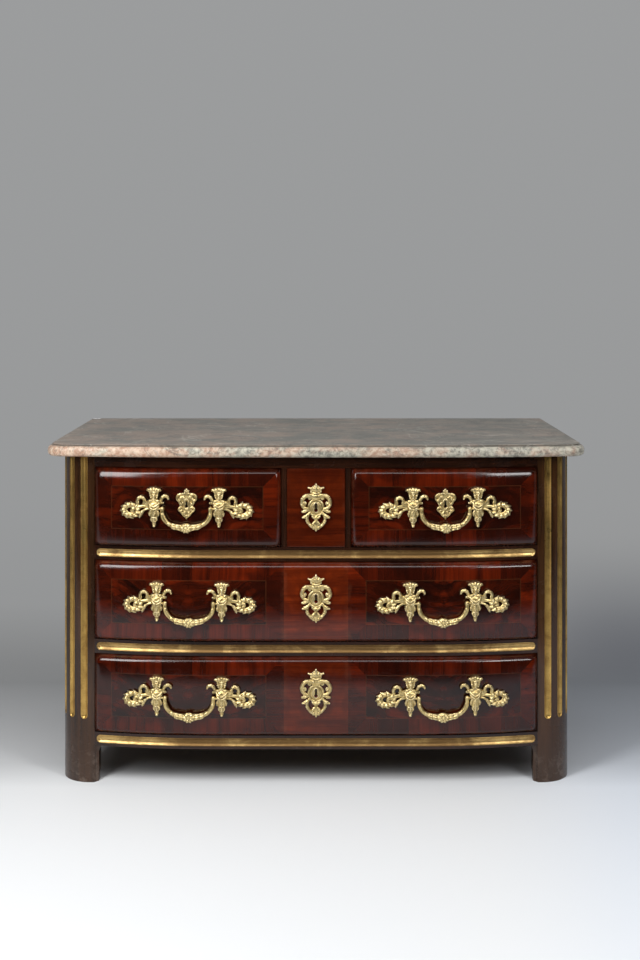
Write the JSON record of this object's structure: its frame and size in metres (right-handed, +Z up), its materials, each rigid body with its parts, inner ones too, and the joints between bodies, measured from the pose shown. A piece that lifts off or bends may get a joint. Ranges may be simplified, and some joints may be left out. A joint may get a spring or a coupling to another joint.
{
  "type": "chest of drawers",
  "caption": "Bow-front commode chest with a moulded marble top, fluted brass-lined stiles and rails, locking drawers and gilt drop bail handles.",
  "frame": {"origin": "on the floor, under the middle of the overall box", "axes": "+X to the right seen from the front, +Y from the front to the back, +Z up"},
  "size_m": [1.3, 0.64, 0.824],
  "materials": {
    "marble": "polished grey and pink marble",
    "drawer_veneer": "French-polished rosewood veneer",
    "side_veneer": "French-polished rosewood veneer",
    "dark_veneer": "dark polished veneer",
    "oak": "plain aged oak",
    "brass": "aged sheet brass",
    "gilt_bronze": "cast, chased and gilt",
    "iron": "dark wrought iron"
  },
  "bodies": {
    "carcass": {"marble_top": "marble", "front_stile_right": "dark_veneer", "front_stile_left": "dark_veneer", "rear_stile_right": "oak", "rear_stile_left": "oak", "side_panel_right": "side_veneer", "side_panel_left": "side_veneer", "stile_brass_right": "brass", "stile_brass_left": "brass", "back_boards": "oak", "rear_rails": "oak", "top_rail": "dark_veneer", "upper_rail": "dark_veneer", "lower_rail": "dark_veneer", "bottom_rail": "dark_veneer", "rail_brass": "brass", "foot_brackets": "dark_veneer", "dust_board_upper": "oak", "dust_board_lower": "oak", "bottom_board": "oak", "drawer_runners": "oak", "divider_right": "dark_veneer", "divider_left": "dark_veneer", "top_battens": "oak"},
    "left_drawer": {"left_drawer_front": "drawer_veneer", "left_drawer_box": "oak", "left_drawer_bottom": "oak", "left_drawer_lock_case": "iron", "left_drawer_mounts": "gilt_bronze"},
    "left_drawer_lock_bolt_body": {"left_drawer_lock_bolt": "iron"},
    "left_drawer_bail_body": {"left_drawer_bail": "gilt_bronze"},
    "centre_drawer": {"centre_drawer_front": "drawer_veneer", "centre_drawer_box": "oak", "centre_drawer_bottom": "oak", "centre_drawer_lock_case": "iron", "centre_drawer_mounts": "gilt_bronze"},
    "centre_drawer_lock_bolt_body": {"centre_drawer_lock_bolt": "iron"},
    "right_drawer": {"right_drawer_front": "drawer_veneer", "right_drawer_box": "oak", "right_drawer_bottom": "oak", "right_drawer_lock_case": "iron", "right_drawer_mounts": "gilt_bronze"},
    "right_drawer_lock_bolt_body": {"right_drawer_lock_bolt": "iron"},
    "right_drawer_bail_body": {"right_drawer_bail": "gilt_bronze"},
    "middle_drawer": {"middle_drawer_front": "drawer_veneer", "middle_drawer_box": "oak", "middle_drawer_bottom": "oak", "middle_drawer_lock_case": "iron", "middle_drawer_mounts": "gilt_bronze"},
    "middle_drawer_lock_bolt_body": {"middle_drawer_lock_bolt": "iron"},
    "middle_drawer_bail_left_body": {"middle_drawer_bail_left": "gilt_bronze"},
    "middle_drawer_bail_right_body": {"middle_drawer_bail_right": "gilt_bronze"},
    "bottom_drawer": {"bottom_drawer_front": "drawer_veneer", "bottom_drawer_box": "oak", "bottom_drawer_bottom": "oak", "bottom_drawer_lock_case": "iron", "bottom_drawer_mounts": "gilt_bronze"},
    "bottom_drawer_lock_bolt_body": {"bottom_drawer_lock_bolt": "iron"},
    "bottom_drawer_bail_left_body": {"bottom_drawer_bail_left": "gilt_bronze"},
    "bottom_drawer_bail_right_body": {"bottom_drawer_bail_right": "gilt_bronze"}
  },
  "joints": [
    {"name": "left_drawer_slide", "type": "slide", "parent": "carcass", "child": "left_drawer", "axis": [0, -1, 0], "range_m": [0, 0.38]},
    {"name": "left_drawer_lock_bolt_throw", "type": "slide", "parent": "left_drawer", "child": "left_drawer_lock_bolt_body", "axis": [0, 0, 1], "range_m": [0, 0.008]},
    {"name": "left_drawer_bail_swing", "type": "hinge", "parent": "left_drawer", "child": "left_drawer_bail_body", "pos_m": [-0.31, -0.3061, 0.6705], "axis": [-0.999, 0.0439, 0], "range_deg": [0, 90]},
    {"name": "centre_drawer_slide", "type": "slide", "parent": "carcass", "child": "centre_drawer", "axis": [0, -1, 0], "range_m": [0, 0.38]},
    {"name": "centre_drawer_lock_bolt_throw", "type": "slide", "parent": "centre_drawer", "child": "centre_drawer_lock_bolt_body", "axis": [0, 0, 1], "range_m": [0, 0.008]},
    {"name": "right_drawer_slide", "type": "slide", "parent": "carcass", "child": "right_drawer", "axis": [0, -1, 0], "range_m": [0, 0.38]},
    {"name": "right_drawer_lock_bolt_throw", "type": "slide", "parent": "right_drawer", "child": "right_drawer_lock_bolt_body", "axis": [0, 0, 1], "range_m": [0, 0.008]},
    {"name": "right_drawer_bail_swing", "type": "hinge", "parent": "right_drawer", "child": "right_drawer_bail_body", "pos_m": [0.31, -0.3061, 0.6705], "axis": [-0.999, -0.0439, 0], "range_deg": [0, 90]},
    {"name": "middle_drawer_slide", "type": "slide", "parent": "carcass", "child": "middle_drawer", "axis": [0, -1, 0], "range_m": [0, 0.38]},
    {"name": "middle_drawer_lock_bolt_throw", "type": "slide", "parent": "middle_drawer", "child": "middle_drawer_lock_bolt_body", "axis": [0, 0, 1], "range_m": [0, 0.008]},
    {"name": "middle_drawer_bail_left_swing", "type": "hinge", "parent": "middle_drawer", "child": "middle_drawer_bail_left_body", "pos_m": [-0.3034, -0.30637, 0.4445], "axis": [-0.9992, 0.04, 0], "range_deg": [0, 90]},
    {"name": "middle_drawer_bail_right_swing", "type": "hinge", "parent": "middle_drawer", "child": "middle_drawer_bail_right_body", "pos_m": [0.3034, -0.30637, 0.4445], "axis": [-0.9992, -0.04, 0], "range_deg": [0, 90]},
    {"name": "bottom_drawer_slide", "type": "slide", "parent": "carcass", "child": "bottom_drawer", "axis": [0, -1, 0], "range_m": [0, 0.38]},
    {"name": "bottom_drawer_lock_bolt_throw", "type": "slide", "parent": "bottom_drawer", "child": "bottom_drawer_lock_bolt_body", "axis": [0, 0, 1], "range_m": [0, 0.008]},
    {"name": "bottom_drawer_bail_left_swing", "type": "hinge", "parent": "bottom_drawer", "child": "bottom_drawer_bail_left_body", "pos_m": [-0.3034, -0.30637, 0.2185], "axis": [-0.9992, 0.04, 0], "range_deg": [0, 90]},
    {"name": "bottom_drawer_bail_right_swing", "type": "hinge", "parent": "bottom_drawer", "child": "bottom_drawer_bail_right_body", "pos_m": [0.3034, -0.30637, 0.2185], "axis": [-0.9992, -0.04, 0], "range_deg": [0, 90]}
  ]
}
